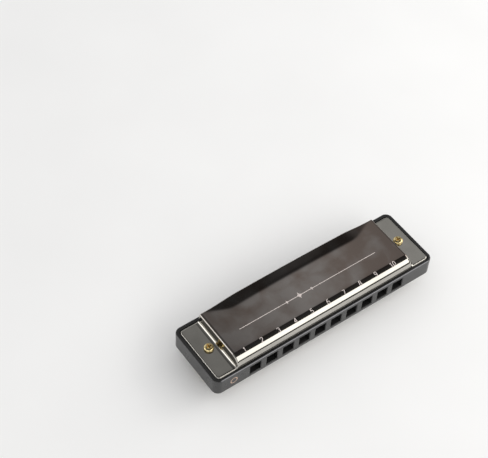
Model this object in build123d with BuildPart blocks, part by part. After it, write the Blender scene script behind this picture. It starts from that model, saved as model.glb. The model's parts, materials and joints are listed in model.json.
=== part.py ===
"""Ten-hole diatonic harmonica: comb, two reed plates with twenty riveted reeds, two pressed covers.

Length lies along X with hole 1 at -X, the mouth side faces -Y and +Z is up. The origin is at the
centre of the footprint, on the plane that the lower cover rests on.
"""
from build123d import *
import math
import os

os.makedirs("parts", exist_ok=True)

# ---------------------------------------------------------------- driving dimensions (mm)
# Comb
comb_height = 8.0
comb_corner_radius = 2.8
comb_edge_radius = 0.4
comb_back_wall = 3.55      # behind the longest chamber
end_rim = 1.3              # rim of the comb that stands round the recess, at each end
front_rim = 0.95
back_rim = 1.45

# Mouth holes and air chambers
hole_count = 10
hole_pitch = 7.5
hole_width = 4.9
mouth_wall = 0.6           # between a mouth and the reed plate above or below it
mouth_depth = 4.05         # closed mouth, before the chamber opens up to both reed plates
mouth_chamfer = 0.25
chamber_end_gap = 0.6      # air behind the root end of a blow reed

# Reed plates
plate_thickness = 1.0
plate_corner_radius = 1.0

# Reeds
first_slot_length = 15.0
last_slot_length = 9.0
slot_width = 2.4
reed_side_gap = 0.06
reed_tip_gap = 0.1
reed_root_gap = 0.05
reed_root_thickness = 0.25
reed_tip_thickness = 0.18
reed_set = 0.3             # how far a reed's tip stands off its plate at rest
blow_tip_inset = 1.1       # from the open end of the chamber to the blow slots
pad_length = 3.8
pad_width = 3.0
pad_thickness = 0.5
draw_pad_reach = 0.2       # how far the draw pads lie ahead of the chambers
rivet_diameter = 1.2
rivet_head_diameter = 1.9
rivet_head_height = 0.35
rivet_fit = 0.02

# Small screws that hold a reed plate on the comb
plate_screw_diameter = 1.4
plate_screw_head_diameter = 2.8
plate_screw_head_height = 0.8
plate_screw_fit = 0.02
plate_screw_plate_fit = 0.15
plate_screw_tip_gap = 0.6          # between the tips of two that share a hole
plate_screw_wall = 2.5             # from the last hole to the screws beside it
plate_screw_side_y = 7.0
plate_screw_edge = 1.9             # from the back of the plate to the middle screw

# Screws that clamp the covers
cover_screw_diameter = 2.0
cover_screw_clearance = 0.15
cover_screw_head_diameter = 3.8
cover_screw_head_height = 1.3
cover_screw_head_radius = 0.8
cover_screw_tail = 0.6
cover_screw_wall_gap = 0.5         # between the head and the bend at the foot of the end wall
cover_screw_end_distance = 6.4     # from each end of the comb
cross_length = 2.2
cross_width = 0.5
cross_depth = 0.7
cross_taper = 8.0                  # degrees
nut_flats = 4.0
nut_thickness = 1.6
nut_fit = 0.02

# Pressed covers
sheet = 0.35
recess_gap = 0.2           # between a cover's turned-down edge and the comb's rim
recess_floor_gap = 0.15    # and between that edge and the floor of the recess
plate_gap = 0.1            # between the start of that edge's bend and the reed plate inside it
flange_corner_radius = 1.6
flange_edge_radius = 0.9
body_end_gap = 1.4         # between the plate screws' heads and the end walls
body_back_setback = 0.4
end_lean = 0.4
wall_top_inner_radius = 0.6
cove_radius = 1.1
lip_run = 0.84
lip_rise = 2.96
shoulder_run = 1.61
shoulder_rise = 1.35
band_run = 1.45
band_rise = 0.39
flare_rise = 1.6
flare_bow = 0.3            # by which the flare is lower where it begins to run out
flare_run_out = 16.5       # from each end of the body to that place
flare_end_margin = 1.4
crease_centre = 3.4        # crease to rear edge at the middle of the cover
crease_deepest = 4.0       # and where the crease turns back to the rear edge
crease_run_out = 13.5      # from each end of the body to that turn
crease_tip = 0.4
turned_edge = 1.2
window_corner_radius = 2.4
window_side_margin = 1.7

# ---------------------------------------------------------------- levels and places
hole_height = comb_height - 2 * (plate_thickness + mouth_wall)
crown_height = lip_rise + shoulder_rise + band_rise
cover_height = crown_height + flare_rise
mid_z = cover_height + comb_height / 2
comb_top = mid_z + comb_height / 2
comb_bottom = mid_z - comb_height / 2
chamber_top = comb_top - plate_thickness
mid_plane = Plane.XY.offset(mid_z)

# along the instrument: the row of holes, then screws, the covers' end walls, screws and the ends
hole_row_half = (hole_pitch * (hole_count - 1) + hole_width) / 2
plate_screw_x = hole_row_half + plate_screw_wall
body_half = plate_screw_x + plate_screw_head_diameter / 2 + body_end_gap
cover_screw_x = body_half + cove_radius + cover_screw_wall_gap + cover_screw_head_diameter / 2
comb_length = 2 * (cover_screw_x + cover_screw_end_distance)

# across it: the mouths, then the longest chamber and the back wall
chamber_length = blow_tip_inset + first_slot_length + pad_length + chamber_end_gap
comb_depth = mouth_depth + chamber_length + comb_back_wall
comb_front = -comb_depth / 2
comb_back = comb_depth / 2
chamber_front = comb_front + mouth_depth
blow_tip_y = chamber_front + blow_tip_inset
draw_root_y = chamber_front - draw_pad_reach + pad_length

recess_half = comb_length / 2 - end_rim
recess_front = comb_front + front_rim
recess_back = comb_back - back_rim
skirt_depth = plate_thickness - recess_floor_gap
flange_half = recess_half - recess_gap
flange_front = recess_front + recess_gap
flange_back = recess_back - recess_gap
plate_inset = flange_edge_radius + plate_gap
plate_half = flange_half - plate_inset
plate_front = flange_front + plate_inset
plate_back = flange_back - plate_inset
body_back = flange_back - body_back_setback
flare_end = body_half - flare_end_margin


def hole_x(hole):
    """Centre of a hole, counted from 0 at the low end."""
    return (hole - (hole_count - 1) / 2) * hole_pitch


def slot_length(hole):
    """Reed slots shorten evenly from the lowest note to the highest."""
    share = hole / (hole_count - 1)
    return first_slot_length + (last_slot_length - first_slot_length) * share


def blow_root_y(hole):
    return blow_tip_y + slot_length(hole)


def chamber_back(hole):
    return blow_root_y(hole) + pad_length + chamber_end_gap


plate_screw_places = [
    (-plate_screw_x, -plate_screw_side_y), (plate_screw_x, -plate_screw_side_y),
    (-plate_screw_x, plate_screw_side_y), (plate_screw_x, plate_screw_side_y),
    (0, plate_screw_edge - plate_back), (0, plate_back - plate_screw_edge),
]
cover_screw_places = [(-cover_screw_x, 0), (cover_screw_x, 0)]


def save(piece, name):
    """Label a finished piece and write it as its own STEP file."""
    piece.label = name
    export_step(piece, f"parts/{name}.step")


# ---------------------------------------------------------------- comb
with BuildPart() as comb:
    with BuildSketch(Plane.XY.offset(comb_bottom)):
        RectangleRounded(comb_length, comb_depth, comb_corner_radius)
    extrude(amount=comb_height)
    fillet(comb.edges().group_by(Axis.Z)[-1] + comb.edges().group_by(Axis.Z)[0], comb_edge_radius)
    # a recess on each face takes the reed plate and the cover's turned-down edge
    for level in (chamber_top, comb_bottom):
        with BuildSketch(Plane.XY.offset(level)):
            with Locations((0, (recess_front + recess_back) / 2)):
                RectangleRounded(2 * recess_half, recess_back - recess_front,
                                 comb_corner_radius - end_rim)
        extrude(amount=plate_thickness, mode=Mode.SUBTRACT)
    # mouths, each cut on into its chamber
    with BuildSketch(Plane.XZ.offset(comb_depth / 2)):
        with Locations((0, mid_z)):
            with GridLocations(hole_pitch, 0, hole_count, 1):
                Rectangle(hole_width, hole_height)
    extrude(amount=-mouth_depth - blow_tip_inset, mode=Mode.SUBTRACT)
    front_face = comb.faces().sort_by(Axis.Y)[0]
    chamfer(front_face.inner_wires().edges(), mouth_chamfer)
    # chambers, open to both reed plates, shorter towards the high notes
    with BuildSketch(mid_plane):
        for hole in range(hole_count):
            length = chamber_back(hole) - chamber_front
            with Locations((hole_x(hole), chamber_front + length / 2)):
                Rectangle(hole_width, length)
    extrude(amount=comb_height / 2, both=True, mode=Mode.SUBTRACT)
    # pilot holes of the plate screws, from both faces, and the cover screws' holes right through
    with Locations(*[(x, y, mid_z) for x, y in plate_screw_places]):
        Cylinder(plate_screw_diameter / 2 + plate_screw_fit, comb_height, mode=Mode.SUBTRACT)
    with Locations(*[(x, y, mid_z) for x, y in cover_screw_places]):
        Cylinder(cover_screw_diameter / 2 + cover_screw_clearance, comb_height, mode=Mode.SUBTRACT)
save(comb.part, "comb")


# ---------------------------------------------------------------- covers
def flare_height(x):
    """How far the rear edge stands above the crown: a shallow arch that runs out near the ends."""
    start = body_half - flare_run_out
    across = min(max((abs(x) - start) / (flare_end - start), 0), 1)
    return (flare_rise - flare_bow * (x / start) ** 2) * 0.5 * (1 + math.cos(math.pi * across))


def crease_setback(x):
    """From the rear edge forward to the crease where the flare begins."""
    turn = body_half - crease_run_out
    if abs(x) < turn:
        return crease_centre + (crease_deepest - crease_centre) * (x / turn) ** 2
    across = (abs(x) - turn) / (flare_end - turn)
    return crease_deepest - (crease_deepest - crease_tip) * across * across * (3 - 2 * across)


def flange_pan(inset):
    """Shallow pan of both flanges, with a rounded, turned-down edge all round."""
    foot = comb_top - skirt_depth - inset
    with BuildPart() as pan:
        with BuildSketch(Plane.XY.offset(foot)):
            with Locations((0, (flange_front + flange_back) / 2)):
                RectangleRounded(2 * (flange_half - inset), flange_back - flange_front - 2 * inset,
                                 flange_corner_radius - inset)
        extrude(amount=comb_top + sheet - inset - foot)
        fillet(pan.edges().group_by(Axis.Z)[-1], flange_edge_radius - inset)
    return pan.part


def leaning_end_wall(face):
    normal = face.normal_at()
    return abs(normal.X) > 0.9 and 0.01 < normal.Z < 0.5


def raised_body(inset):
    """Lip, shoulder, number band and crown, between leaning end walls."""
    foot = comb_top - skirt_depth - inset
    crown = comb_top + crown_height
    lip_top = (flange_front + lip_run, comb_top + lip_rise)
    shoulder_top = (lip_top[0] + shoulder_run, lip_top[1] + shoulder_rise)
    band_top = (shoulder_top[0] + band_run, crown)
    with BuildPart() as body:
        with BuildSketch(Plane.YZ):
            with BuildLine():
                Polyline((flange_front, foot - sheet), (flange_front, comb_top), lip_top, shoulder_top,
                         band_top, (body_back, crown), (body_back, foot - sheet), close=True)
            make_face()
            if inset:
                offset(amount=-inset, kind=Kind.INTERSECTION)
        extrude(amount=body_half, both=True)
        with BuildSketch(Plane.XZ):
            with BuildLine():
                Polyline((-body_half + inset, foot - sheet), (-body_half + inset, comb_top + sheet),
                         (-body_half + end_lean + inset, crown), (body_half - end_lean - inset, crown),
                         (body_half - inset, comb_top + sheet), (body_half - inset, foot - sheet),
                         close=True)
            make_face()
        extrude(amount=comb_depth, both=True, mode=Mode.INTERSECT)
        # the end walls turn over into the lip, shoulder, band and crown with a small radius
        for wall in body.faces().filter_by(leaning_end_wall):
            outline = wall.edges().filter_by(lambda edge: edge.center().Y < body_back - 2 * sheet)
            fillet(outline.filter_by(lambda edge: edge.center().Z > comb_top + sheet),
                   wall_top_inner_radius + sheet - inset)
    return body.part


def flared_back(inset):
    """The rear of the crown, pressed up in an arch behind a curved crease."""
    crown = comb_top + crown_height - inset
    overlap = 1.0                  # the flare's solid is rooted this deep in the body
    dip = 0.05                     # at its tips the flare runs out just below the crown
    stations = 12
    with BuildPart() as flare:
        for station in range(stations + 1):
            x = flare_end * (2 * station / stations - 1)
            setback = crease_setback(x)
            rise = flare_height(x)
            slope = rise / setback
            level = crown - dip * (1 - rise / flare_rise)
            front = body_back - setback - overlap
            back = body_back + overlap
            with BuildSketch(Plane.YZ.offset(x)):
                with BuildLine():
                    Polyline((front, crown - overlap), (back, crown - overlap),
                             (back, level + slope * (setback + overlap)),
                             (front, level - slope * overlap), close=True)
                make_face()
        loft()
        split(bisect_by=Plane.XZ.offset(-(body_back - inset)), keep=Keep.TOP)
    return flare.part


def wall_bend(inset):
    """Fill of the concave bend where each end wall rises from its flange."""
    level = comb_top + sheet - inset
    radius = cove_radius + inset
    centre = (body_half + cove_radius, comb_top + sheet + cove_radius)
    lean = end_lean * cove_radius / (crown_height - sheet)
    front = flange_front + flange_edge_radius
    back = body_back - inset
    on_flange = (centre[0], level)
    on_wall = (centre[0] - radius - lean, centre[1])
    halfway = (centre[0] - radius * math.sqrt(0.5), centre[1] - radius * math.sqrt(0.5))
    with BuildPart() as bend:
        with BuildSketch(Plane.XZ.offset(-back)):
            with BuildLine():
                ThreePointArc(on_flange, halfway, on_wall)
                Polyline(on_wall, (on_wall[0] - sheet, on_wall[1]), (on_wall[0] - sheet, level), on_flange)
            make_face()
        extrude(amount=back - front)
        mirror(about=Plane.YZ)
    return bend.part


rear_wall = Plane.XZ.offset(-body_back)
window_half = body_half - window_side_margin
window_stations = [window_half * share / 4 for share in range(-4, 5)]

with BuildPart() as top_cover:
    for form in (flange_pan, raised_body, wall_bend, flared_back):
        add(form(0))
    for form in (flange_pan, raised_body, wall_bend, flared_back):
        add(form(sheet), mode=Mode.SUBTRACT)
    split(bisect_by=Plane.XY.offset(comb_top - skirt_depth), keep=Keep.TOP)
    # sound opening: an arch through the rear wall that leaves its turned-down edge
    with BuildSketch(rear_wall) as arch:
        with BuildLine():
            crest = [(x, comb_top + crown_height + flare_height(x) - turned_edge)
                     for x in window_stations]
            Spline(*crest)
            Polyline(crest[-1], (window_half, comb_top - skirt_depth),
                     (-window_half, comb_top - skirt_depth), crest[0])
        make_face()
        fillet(arch.vertices().group_by(Axis.Y)[1], window_corner_radius)
    extrude(amount=recess_gap + body_back_setback + sheet, both=True, mode=Mode.SUBTRACT)
    with Locations(*[(x, y, comb_top) for x, y in cover_screw_places]):
        Cylinder(cover_screw_diameter / 2 + cover_screw_clearance, 2 * flange_edge_radius,
                 mode=Mode.SUBTRACT)
save(top_cover.part, "top_cover")

with BuildPart() as bottom_cover:
    mirror(top_cover.part, about=mid_plane)
save(bottom_cover.part, "bottom_cover")


# ---------------------------------------------------------------- reed plates
def reed_plate(outer_face, slot_places, rivet_places):
    """A plate below outer_face with its reed slots, rivet holes and screw holes."""
    with BuildPart() as plate:
        with BuildSketch(Plane.XY.offset(outer_face - plate_thickness)):
            with Locations((0, (plate_front + plate_back) / 2)):
                RectangleRounded(2 * plate_half, plate_back - plate_front, plate_corner_radius)
            for hole, start in slot_places:
                with Locations((hole_x(hole), start + slot_length(hole) / 2)):
                    Rectangle(slot_width, slot_length(hole), mode=Mode.SUBTRACT)
            with Locations(*rivet_places):
                Circle(rivet_diameter / 2 + rivet_fit, mode=Mode.SUBTRACT)
            with Locations(*plate_screw_places):
                Circle(plate_screw_diameter / 2 + plate_screw_plate_fit, mode=Mode.SUBTRACT)
            with Locations(*cover_screw_places):
                Circle(cover_screw_diameter / 2 + cover_screw_clearance, mode=Mode.SUBTRACT)
        extrude(amount=plate_thickness)
    return plate.part


holes = range(hole_count)
blow_rivets_at = [(hole_x(hole), blow_root_y(hole) + pad_length / 2) for hole in holes]
draw_rivets_at = [(hole_x(hole), draw_root_y - pad_length / 2) for hole in holes]

blow_reed_plate = reed_plate(comb_top, [(hole, blow_tip_y) for hole in holes], blow_rivets_at)
save(blow_reed_plate, "blow_reed_plate")
draw_reed_plate = reed_plate(comb_bottom + plate_thickness, [(hole, draw_root_y) for hole in holes],
                             draw_rivets_at)
save(draw_reed_plate, "draw_reed_plate")

# ---------------------------------------------------------------- reeds
# Both rows of reeds lie on the lower faces of their plates: the blow reeds inside the chambers,
# rooted at the back, and the draw reeds outside, rooted at the front.
blow_face = chamber_top
draw_face = comb_bottom


def reed(hole, face, root_y, towards):
    """Free tongue of a reed: tapered in thickness and set a little away from its slot at the tip."""
    start = root_y + towards * reed_root_gap
    tip = root_y + towards * (slot_length(hole) - reed_tip_gap)
    middle = (start + tip) / 2
    sag = reed_set / 4             # the set grows towards the tip along an arc
    with BuildPart() as tongue:
        with BuildSketch(Plane.YZ.offset(hole_x(hole))):
            with BuildLine():
                ThreePointArc((start, face), (middle, face - sag), (tip, face - reed_set))
                Line((tip, face - reed_set), (tip, face - reed_set - reed_tip_thickness))
                ThreePointArc((tip, face - reed_set - reed_tip_thickness),
                              (middle, face - sag - (reed_root_thickness + reed_tip_thickness) / 2),
                              (start, face - reed_root_thickness))
                Line((start, face - reed_root_thickness), (start, face))
            make_face()
        extrude(amount=slot_width / 2 - reed_side_gap, both=True)
    return tongue.part


for hole in holes:
    save(reed(hole, blow_face, blow_root_y(hole), -1), f"blow_reed_{hole + 1:02d}")
    save(reed(hole, draw_face, draw_root_y, 1), f"draw_reed_{hole + 1:02d}")


def reed_pads(face, rivet_places):
    """Root ends of a row of reeds, clamped flat on the lower face of their plate."""
    with BuildPart() as pads:
        with BuildSketch(Plane.XY.offset(face - pad_thickness)):
            with Locations(*rivet_places):
                Rectangle(pad_width, pad_length)
                Circle(rivet_diameter / 2 + rivet_fit, mode=Mode.SUBTRACT)
        extrude(amount=pad_thickness)
    return pads.part


def rivets(face, places):
    """Rivets through plate and pad, with a low tapered head on each side."""
    shank, head, rise = rivet_diameter / 2, rivet_head_diameter / 2, rivet_head_height
    upper, lower = face + plate_thickness, face - pad_thickness
    with BuildPart() as rivet:
        with BuildSketch(Plane.XZ):
            with BuildLine():
                Polyline((0, lower - rise), (shank, lower - rise), (head, lower), (shank, lower),
                         (shank, upper), (head, upper), (shank, upper + rise), (0, upper + rise),
                         close=True)
            make_face()
        revolve(axis=Axis.Z)
    with BuildPart() as row:
        with Locations(*[(x, y, 0) for x, y in places]):
            add(rivet.part)
    return row.part


save(reed_pads(blow_face, blow_rivets_at), "blow_reed_pads")
save(reed_pads(draw_face, draw_rivets_at), "draw_reed_pads")
save(rivets(blow_face, blow_rivets_at), "blow_reed_rivets")
save(rivets(draw_face, draw_rivets_at), "draw_reed_rivets")


# ---------------------------------------------------------------- screws and nuts
def cross_recess(top, length, width, depth):
    """Tapered cross that a screwdriver fits, sunk from the top of a head."""
    with BuildPart() as cross:
        with BuildSketch(Plane.XY.offset(top)):
            Rectangle(length, width)
            Rectangle(width, length)
        extrude(amount=-depth, taper=cross_taper)
    return cross.part


with BuildPart() as plate_screw:
    with BuildSketch(Plane.XY.offset(comb_top)):
        Circle(plate_screw_head_diameter / 2)
    extrude(amount=plate_screw_head_height)
    with BuildSketch(Plane.XY.offset(comb_top)):
        Circle(plate_screw_diameter / 2)
    extrude(amount=mid_z + plate_screw_tip_gap / 2 - comb_top)

with BuildPart() as blow_plate_screws:
    with Locations(*[(x, y, 0) for x, y in plate_screw_places]):
        add(plate_screw.part)
save(blow_plate_screws.part, "blow_plate_screws")

with BuildPart() as draw_plate_screws:
    mirror(blow_plate_screws.part, about=mid_plane)
save(draw_plate_screws.part, "draw_plate_screws")

head_seat = comb_top + sheet
nut_seat = 2 * mid_z - head_seat

with BuildPart() as cover_screw:
    with BuildSketch(Plane.XY.offset(head_seat)):
        Circle(cover_screw_head_diameter / 2)
    extrude(amount=cover_screw_head_height)
    fillet(cover_screw.edges().sort_by(Axis.Z)[-1], cover_screw_head_radius)
    with BuildSketch(Plane.XY.offset(head_seat)):
        Circle(cover_screw_diameter / 2)
    extrude(amount=nut_seat - nut_thickness - cover_screw_tail - head_seat)
    add(cross_recess(head_seat + cover_screw_head_height, cross_length, cross_width, cross_depth),
        mode=Mode.SUBTRACT)

with BuildPart() as cover_screws:
    with Locations(*[(x, y, 0) for x, y in cover_screw_places]):
        add(cover_screw.part)
save(cover_screws.part, "cover_screws")

with BuildPart() as cover_nuts:
    with BuildSketch(Plane.XY.offset(nut_seat - nut_thickness)):
        with Locations(*cover_screw_places):
            RegularPolygon(nut_flats / 2, 6, major_radius=False)
            Circle(cover_screw_diameter / 2 + nut_fit, mode=Mode.SUBTRACT)
    extrude(amount=nut_thickness)
save(cover_nuts.part, "cover_nuts")
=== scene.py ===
"""Finishes of a ten-hole diatonic harmonica: pressed mirror covers, black comb, brass reeds.

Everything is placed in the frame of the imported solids: X along the holes, -Y the mouth side, +Z up.
Lengths in this file are millimetres until make_piece() turns them into metres.
"""
import json
import math
from functools import partial

import bmesh
import bpy
import numpy as np
from bpy.props import FloatProperty, FloatVectorProperty, PointerProperty, StringProperty
from mathutils import Matrix, Vector


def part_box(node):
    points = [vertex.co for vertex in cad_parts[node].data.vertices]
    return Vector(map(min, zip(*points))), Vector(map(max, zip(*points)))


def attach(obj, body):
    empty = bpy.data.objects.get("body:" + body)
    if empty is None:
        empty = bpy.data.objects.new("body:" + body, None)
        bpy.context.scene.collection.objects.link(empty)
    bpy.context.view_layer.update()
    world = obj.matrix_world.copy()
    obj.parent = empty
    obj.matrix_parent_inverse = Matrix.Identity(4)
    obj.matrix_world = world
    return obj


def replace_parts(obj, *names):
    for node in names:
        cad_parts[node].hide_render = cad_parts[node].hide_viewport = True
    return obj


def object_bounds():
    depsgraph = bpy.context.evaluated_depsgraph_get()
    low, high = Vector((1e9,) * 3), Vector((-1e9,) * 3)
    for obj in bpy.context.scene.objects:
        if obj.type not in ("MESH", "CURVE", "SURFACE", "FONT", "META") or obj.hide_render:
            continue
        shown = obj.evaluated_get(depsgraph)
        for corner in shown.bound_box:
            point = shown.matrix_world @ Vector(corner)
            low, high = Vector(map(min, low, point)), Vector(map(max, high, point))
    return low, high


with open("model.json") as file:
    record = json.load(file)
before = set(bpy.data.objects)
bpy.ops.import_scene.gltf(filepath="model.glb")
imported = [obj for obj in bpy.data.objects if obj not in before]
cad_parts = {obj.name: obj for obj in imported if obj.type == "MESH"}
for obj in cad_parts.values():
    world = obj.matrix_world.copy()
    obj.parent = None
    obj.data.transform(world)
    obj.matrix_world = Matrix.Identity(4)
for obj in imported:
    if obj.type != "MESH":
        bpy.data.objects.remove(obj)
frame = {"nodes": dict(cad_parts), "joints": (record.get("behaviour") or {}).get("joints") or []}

bl_info = {
    "name": "Harmonica finishes",
    "version": (1, 0, 0),
    "blender": (4, 5, 0),
    "location": "View3D > Sidebar > Harmonica",
    "description": "Covers, markings, metals, plastic and a plain studio for a ten-hole harmonica",
    "category": "Object",
}

MM = 0.001
CAD_BOX = [list(corner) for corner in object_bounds()]
QUARTER = math.pi / 2


# ---------------- places read from the frame
def node_box(name):
    """Lowest and highest corner of a solid, in millimetres."""
    low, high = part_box(name)
    return np.array(low) / MM, np.array(high) / MM


def hinges(row):
    """Places (x, y) of the hinges of the blow or draw reeds, in millimetres."""
    places = [joint["pos_m"][:2] for joint in frame["joints"] if joint["name"].startswith(row)]
    return np.array(places) / MM


COMB_LOW, COMB_HIGH = node_box("comb")
COVER_LOW, COVER_HIGH = node_box("top_cover")
SCREW_LOW, SCREW_HIGH = node_box("cover_screws")
COMB_TOP = float(COMB_HIGH[2])
MID_Z = float(COMB_LOW[2] + COMB_HIGH[2]) / 2
HOLE_X = np.sort(hinges("blow")[:, 0])
HOLE_PITCH = (HOLE_X[-1] - HOLE_X[0]) / (len(HOLE_X) - 1)


# ---------------- sizes and colours
def length(name, default, description, least=0.0):
    """A size in millimetres, the unit in which Blender counts camera lengths."""
    return FloatProperty(name=name, default=default, description=description, unit="CAMERA", min=least)


def coordinate(name, default, description):
    """A place in millimetres, on either side of the middle."""
    return length(name, default, description, least=-200.0)


def angle(name, degrees, description):
    """An angle, kept in radians."""
    return FloatProperty(name=name, default=math.radians(degrees), description=description,
                         subtype="ANGLE")


def radiance(name, default, description):
    """Strength of a light or a lit wall; 1 is white."""
    return FloatProperty(name=name, default=default, description=description, min=0.0)


def colour(name, default, description):
    """A colour written as an sRGB hex value."""
    return StringProperty(name=name, default=default, description=description + ", sRGB hex")


class HarmonicaCoverSizes(bpy.types.PropertyGroup):
    sheet: length("Sheet", 0.35, "Thickness of the pressed steel")
    body_end: length("Body end", 41.5, "From the middle to the foot of an end wall")
    end_lean: length("End lean", 0.4, "By which an end wall leans inwards")
    wall_top_radius: length("Wall top radius", 0.95, "Bend from end wall to crown")
    cove_radius: length("Cove radius", 1.3, "Bend from end wall to flange")
    flange_edge_radius: length("Flange edge radius", 0.9, "Rounding of a flange's front and rear edges")
    flange_end_radius: length("Flange end rounding", 0.5, "Run of the rounding at a flange's outer end")
    flange_corner_radius: length("Flange corner radius", 1.6, "Corner of a flange, seen from above")
    lip_run: length("Lip run", 0.52, "Depth of the lip that the player's mouth touches")
    lip_rise: length("Lip rise", 2.68, "Height of the lip")
    shoulder_run: length("Shoulder run", 1.74, "Depth of the sloping shoulder above the lip")
    shoulder_rise: length("Shoulder rise", 1.48, "Height of the shoulder")
    band_run: length("Band run", 1.64, "Depth of the band with the hole numbers")
    band_rise: length("Band rise", 0.54, "Height of the band")
    lip_bend: length("Lip bend", 2.3, "Bend from lip to shoulder")
    shoulder_bend: length("Shoulder bend", 0.4, "Bend from shoulder to band")
    band_bend: length("Band bend", 1.0, "Bend from band to crown")
    back_setback: length("Back setback", 0.4, "From a flange's back edge to the body's back")
    flare_rise: length("Flare rise", 1.6, "How far the rear edge is pressed up at the middle")
    flare_bow: length("Flare bow", 0.3, "By which the flare is lower where its run-out begins")
    flare_run_out: length("Flare run-out", 16.5, "From the body's end to that place")
    flare_end_margin: length("Flare end margin", 1.4, "Plain crown left at each end of the flare")
    crease_centre: length("Crease at the middle", 3.4, "From crease to rear edge at the middle")
    crease_deepest: length("Crease deepest", 4.0, "From crease to rear edge where the crease turns")
    crease_run_out: length("Crease run-out", 13.5, "From the body's end to that turn")
    crease_tip: length("Crease tip", 0.4, "From crease to rear edge at the flare's tips")
    crease_bend: length("Crease bend", 0.5, "Half-width of the bend along the crease")
    turned_edge: length("Turned edge", 1.2, "Depth of the turned-down rear edge")
    rear_bend: length("Rear bend", 0.36, "Bend at the top of the turned edge")
    window_margin: length("Window margin", 1.7, "Wall left beside the sound opening")
    window_corner: length("Window corner", 2.4, "Corner radius of the sound opening")
    screw_hole: length("Screw hole", 2.3, "Diameter of the hole for the cover screw")


class HarmonicaMarkSizes(bpy.types.PropertyGroup):
    digit_height: length("Digit height", 1.8, "Height of the hole numbers")
    digit_stroke: length("Digit stroke", 0.25, "Stroke of the hole numbers")
    digit_pitch: length("Digit pitch", 7.66, "From one hole number to the next")
    digit_first_x: coordinate("First digit", -36.7, "Left side of the first hole number")
    digit_middle_y: coordinate("Digit middle", -9.8, "Middle of a hole number, across the cover")
    rule_left: coordinate("Rule start", -32.7, "Left end of the rule")
    rule_right: coordinate("Rule end", 31.3, "Right end of the rule")
    rule_width: length("Rule width", 0.26, "Width of the rule")
    rule_y: coordinate("Rule place", -1.65, "Where the rule lies across the cover")
    lozenge: length("Lozenge", 1.6, "Half-diagonal of the largest lozenge on the rule")
    lozenge_x: coordinate("Lozenge place", -5.2, "Where the largest lozenge lies along the rule")
    ring_diameter: length("Ring diameter", 3.1, "Outside of the ring on the comb's front")
    ring_width: length("Ring width", 0.34, "Line width of the ring")
    ring_height: length("Ring height", 0.002, "How far the ring stands proud")
    mark_height: length("Mark height", 0.012, "How far a mark on the cover stands proud")


class HarmonicaFastenerSizes(bpy.types.PropertyGroup):
    rivet_head: length("Rivet head", 1.9, "Diameter of a rivet's head")
    rivet_rise: length("Rivet rise", 0.35, "Height of a rivet's head")
    rivet_shank: length("Rivet shank", 1.2, "Diameter of a rivet's shank")
    screw_head: length("Plate screw head", 2.8, "Diameter of a plate screw's head")
    screw_height: length("Plate screw height", 0.8, "Height of that head")
    screw_edge: length("Plate screw edge", 0.42, "Height of that head at its rim")
    screw_shank: length("Plate screw shank", 1.4, "Diameter of a plate screw's shank")
    slot_width: length("Slot width", 0.45, "Width of a plate screw's slot")
    slot_depth: length("Slot depth", 0.45, "Depth of that slot")
    side_y: length("Side screws", 7.0, "From the middle to the plate screws beside the last holes")


class HarmonicaColours(bpy.types.PropertyGroup):
    steel: colour("Steel", "#BEBBB4", "Polished stainless steel")
    steel_worn: colour("Worn steel", "#B2AFA8", "Steel where the polish has dulled")
    # The two crown colours are darker than the steel: a smoky haze, and painted shade for the dark room
    # that the crown mirrors
    crown_pale: colour("Crown", "#99938F", "Crown of a cover, under its smoky haze")
    crown_dark: colour("Crown haze", "#837770", "Darkest of the warm haze on the crown")
    abs_black: colour("Comb", "#1B1B1B", "Black ABS")
    # Paler front edges of the comb: a painted highlight
    abs_rubbed: colour("Comb edge", "#848487", "Rubbed front edges of the comb")
    abs_worn: colour("Comb sheen", "#252525", "Paler ABS where the mould was polished")
    brass: colour("Brass", "#DDBB74", "Rolled brass sheet")
    brass_dark: colour("Brass tarnish", "#B98A44", "Brass where it has begun to tarnish")
    screw_brass: colour("Screw brass", "#F3DFA8", "Bright brass plating")
    screw_shade: colour("Screw brass, worn", "#DDBE7C", "Brass plating where it is handled")
    nickel: colour("Nickel", "#BDBBB5", "Nickel plating on the small screws")
    mark: colour("Markings", "#DACFCB", "Pale ink on covers")
    ring_mark: colour("Ring", "#D9B8A4", "Pale copper ink on the comb")
    floor: colour("Floor", "#F2F2F2", "Plain pale floor")


class HarmonicaStageSizes(bpy.types.PropertyGroup):
    lens: length("Lens", 94.8, "Focal length on a 36 mm sensor")
    azimuth: angle("Azimuth", -38.903, "Camera's place round the object")
    elevation: angle("Elevation", 50.919, "Camera's height")
    roll: angle("Roll", 4.143, "Camera's roll")
    distance: length("Distance", 514.383, "Camera to its target")
    target: FloatVectorProperty(name="Target", default=(2.59, 43.65, 6.3), unit="CAMERA",
                                subtype="XYZ", description="What the camera looks at")
    key_level: radiance("Key light", 2.2, "Softbox before the mouths")
    side_level: radiance("Side light", 2.6, "Small softbox at the high end")
    sky: radiance("Sky", 0.76, "Even sky over matt surfaces")
    backdrop: radiance("Backdrop", 0.9, "Pale surroundings behind the floor")
    left_wall: radiance("Left wall", 3.4, "Lit wall at the low end")
    corner_wall: radiance("Corner wall", 1.2, "Lit wall before the low end")
    back_wall: radiance("Back wall", 0.8, "Lit wall behind the back")
    far_panel: radiance("Far panel", 0.2, "Panel behind the high end")
    top_panel: radiance("Top panel", 0.2, "Small panel above the back")


SETTINGS = {"cover": HarmonicaCoverSizes, "marks": HarmonicaMarkSizes,
            "fasteners": HarmonicaFastenerSizes, "colours": HarmonicaColours,
            "stage": HarmonicaStageSizes}


def settings(group):
    """One group of the sizes and colours in the sidebar."""
    return getattr(bpy.context.scene, "harmonica_" + group)


# ---------------- materials
def linear(hex_value):
    """sRGB hex to linear RGBA: c/12.92 below 0.04045, otherwise ((c + 0.055) / 1.055) to the 2.4."""
    channels = [int(hex_value[i:i + 2], 16) / 255 for i in (1, 3, 5)]
    return tuple(c / 12.92 if c <= 0.04045 else ((c + 0.055) / 1.055) ** 2.4
                 for c in channels) + (1.0,)


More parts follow.
